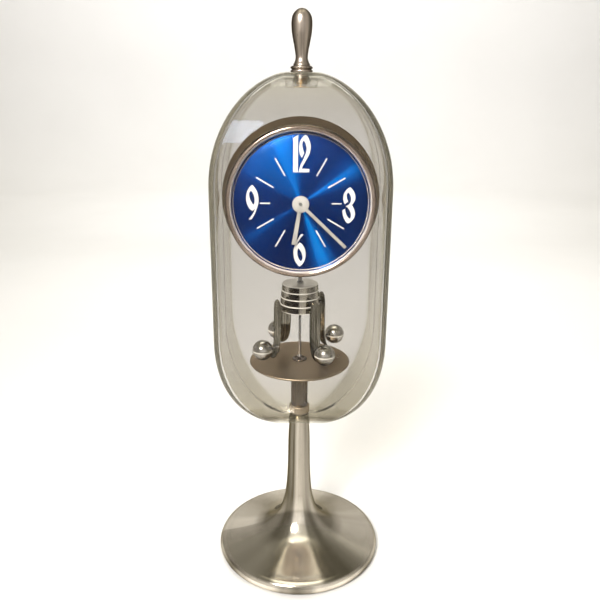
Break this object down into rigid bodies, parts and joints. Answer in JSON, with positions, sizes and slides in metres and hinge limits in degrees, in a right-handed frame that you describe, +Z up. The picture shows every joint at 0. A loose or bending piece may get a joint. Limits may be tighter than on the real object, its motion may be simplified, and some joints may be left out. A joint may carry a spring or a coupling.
{
  "type": "mantel clock",
  "caption": "Mantel clock with a torsion pendulum in a clear case with curved ends, round dial, turned finial and trumpet pedestal.",
  "frame": {"origin": "centre of the underside of the base, on the surface the clock stands on", "axes": "+Z up along the pedestal, finial and pendulum axis; the dial faces -Y; +X is to the right of someone who looks at the dial"},
  "size_m": [0.119, 0.119, 0.3777],
  "materials": {
    "polished_nickel": "polished, faintly warm",
    "satin_nickel": "satin, fine radial or lengthwise grain",
    "housing_metal": "spun, fine circular grain, champagne tint",
    "brass": "lacquered, fine brushed grain",
    "steel": "fine ground",
    "clear_acrylic": "clear, slightly yellowed, polished",
    "crystal": "clear domed glass",
    "dial_blue": "blue lacquer over a sunburst-brushed metal disc",
    "hand_white": "satin white paint",
    "felt": "dark green felt"
  },
  "bodies": {
    "stand": {"base_pedestal": "polished_nickel", "base_pad": "felt", "tie_rod": "steel", "rod_washer": "steel", "rod_nut": "steel", "floor_collar": "satin_nickel", "upper_post": "satin_nickel", "platform_disc": "satin_nickel", "guide_cup": "satin_nickel", "rear_shell": "clear_acrylic", "clamp_block": "clear_acrylic", "clamp_nut": "brass", "finial_stud": "steel", "dial_housing": "housing_metal", "bezel": "polished_nickel", "crystal": "crystal", "dial_plate": "dial_blue", "front_plate": "brass", "back_plate": "brass", "plate_pillar_1": "brass", "plate_pillar_2": "brass", "plate_pillar_3": "brass", "plate_pillar_4": "brass", "support_post_1": "polished_nickel", "support_post_2": "polished_nickel", "support_screw_1": "steel", "support_screw_2": "steel", "click_screw": "steel", "suspension_bracket": "brass", "top_block": "brass", "suspension_spring": "steel"},
    "front_cover": {"front_shell": "clear_acrylic"},
    "finial_nut": {"finial": "polished_nickel"},
    "centre_arbor": {"centre_wheel": "brass"},
    "minute_hand_set": {"minute_hand": "hand_white", "cannon_pinion": "steel"},
    "hour_hand_set": {"hour_hand": "hand_white", "hour_wheel": "brass"},
    "minute_wheel_set": {"minute_wheel": "brass"},
    "intermediate_arbor": {"intermediate_wheel": "brass"},
    "third_arbor": {"third_wheel": "brass"},
    "escape_arbor": {"escape_wheel": "brass"},
    "spring_barrel": {"barrel": "brass", "mainspring": "steel"},
    "winder": {"winding_arbor": "steel", "ratchet_wheel": "steel"},
    "click_lever": {"click": "steel"},
    "anchor_arbor": {"anchor": "steel"},
    "fork_block": {"fork": "brass"},
    "pendulum": {"pendulum_drum": "polished_nickel", "pendulum_arm_1": "polished_nickel", "pendulum_arm_2": "polished_nickel", "pendulum_arm_3": "polished_nickel", "pendulum_arm_4": "polished_nickel", "pendulum_ball_1": "polished_nickel", "pendulum_ball_2": "polished_nickel", "pendulum_ball_3": "polished_nickel", "pendulum_ball_4": "polished_nickel", "pendulum_rod": "steel"}
  },
  "joints": [
    {"name": "front_cover_pull", "type": "slide", "parent": "stand", "child": "front_cover", "axis": [0, -1, 0], "range_m": [0, 0.12]},
    {"name": "finial_unscrew", "type": "slide", "parent": "stand", "child": "finial_nut", "axis": [0, 0, 1], "range_m": [0, 0.02]},
    {"name": "centre_wheel_turn", "type": "hinge", "parent": "stand", "child": "centre_arbor", "pos_m": [0, -0.00875, 0.2651], "axis": [0, 1, 0], "continuous": true},
    {"name": "minute_hand_turn", "type": "hinge", "parent": "stand", "child": "minute_hand_set", "pos_m": [0, -0.0311, 0.2651], "axis": [0, 1, 0], "continuous": true},
    {"name": "hour_hand_turn", "type": "hinge", "parent": "stand", "child": "hour_hand_set", "pos_m": [0, -0.0295, 0.2651], "axis": [0, 1, 0], "continuous": true},
    {"name": "minute_wheel_turn", "type": "hinge", "parent": "stand", "child": "minute_wheel_set", "pos_m": [0.0076, -0.02325, 0.2611], "axis": [0, 1, 0], "continuous": true},
    {"name": "intermediate_wheel_turn", "type": "hinge", "parent": "stand", "child": "intermediate_arbor", "pos_m": [0.0045, -0.0104, 0.2521], "axis": [0, 1, 0], "continuous": true},
    {"name": "third_wheel_turn", "type": "hinge", "parent": "stand", "child": "third_arbor", "pos_m": [0.0085, -0.0135, 0.2767], "axis": [0, 1, 0], "continuous": true},
    {"name": "escape_wheel_turn", "type": "hinge", "parent": "stand", "child": "escape_arbor", "pos_m": [0, -0.017, 0.2837], "axis": [0, 1, 0], "continuous": true},
    {"name": "barrel_turn", "type": "hinge", "parent": "stand", "child": "spring_barrel", "pos_m": [-0.011, -0.013, 0.2481], "axis": [0, 1, 0], "continuous": true},
    {"name": "winding_turn", "type": "hinge", "parent": "stand", "child": "winder", "pos_m": [-0.011, -0.005, 0.2481], "axis": [0, 1, 0], "continuous": true},
    {"name": "click_lift", "type": "hinge", "parent": "stand", "child": "click_lever", "pos_m": [-0.0026, -0.005, 0.2537], "axis": [0, 1, 0], "range_deg": [0, 12], "stiffness_Nm_per_rad": 0.00005, "springref_deg": -5.73},
    {"name": "anchor_rock", "type": "hinge", "parent": "stand", "child": "anchor_arbor", "pos_m": [0, -0.017, 0.2932], "axis": [0, 1, 0], "range_deg": [-4, 4]},
    {"name": "fork_turn", "type": "hinge", "parent": "stand", "child": "fork_block", "pos_m": [0, 0, 0.2993], "axis": [0, 0, 1], "range_deg": [-8, 8]},
    {"name": "pendulum_turn", "type": "hinge", "parent": "stand", "child": "pendulum", "pos_m": [0, 0, 0.2], "axis": [0, 0, 1], "range_deg": [-150, 150], "stiffness_Nm_per_rad": 0.000032}
  ],
  "couplings": [
    {"joint": "minute_hand_turn", "follows": "centre_wheel_turn", "ratio": 1},
    {"joint": "hour_hand_turn", "follows": "centre_wheel_turn", "ratio": 0.083333},
    {"joint": "minute_wheel_turn", "follows": "centre_wheel_turn", "ratio": -0.33333},
    {"joint": "third_wheel_turn", "follows": "centre_wheel_turn", "ratio": -4},
    {"joint": "escape_wheel_turn", "follows": "centre_wheel_turn", "ratio": 16},
    {"joint": "intermediate_wheel_turn", "follows": "centre_wheel_turn", "ratio": -0.16667},
    {"joint": "barrel_turn", "follows": "centre_wheel_turn", "ratio": 0.02381},
    {"joint": "anchor_rock", "follows": "pendulum_turn", "ratio": 0.0266},
    {"joint": "fork_turn", "follows": "pendulum_turn", "ratio": 0.0532}
  ]
}
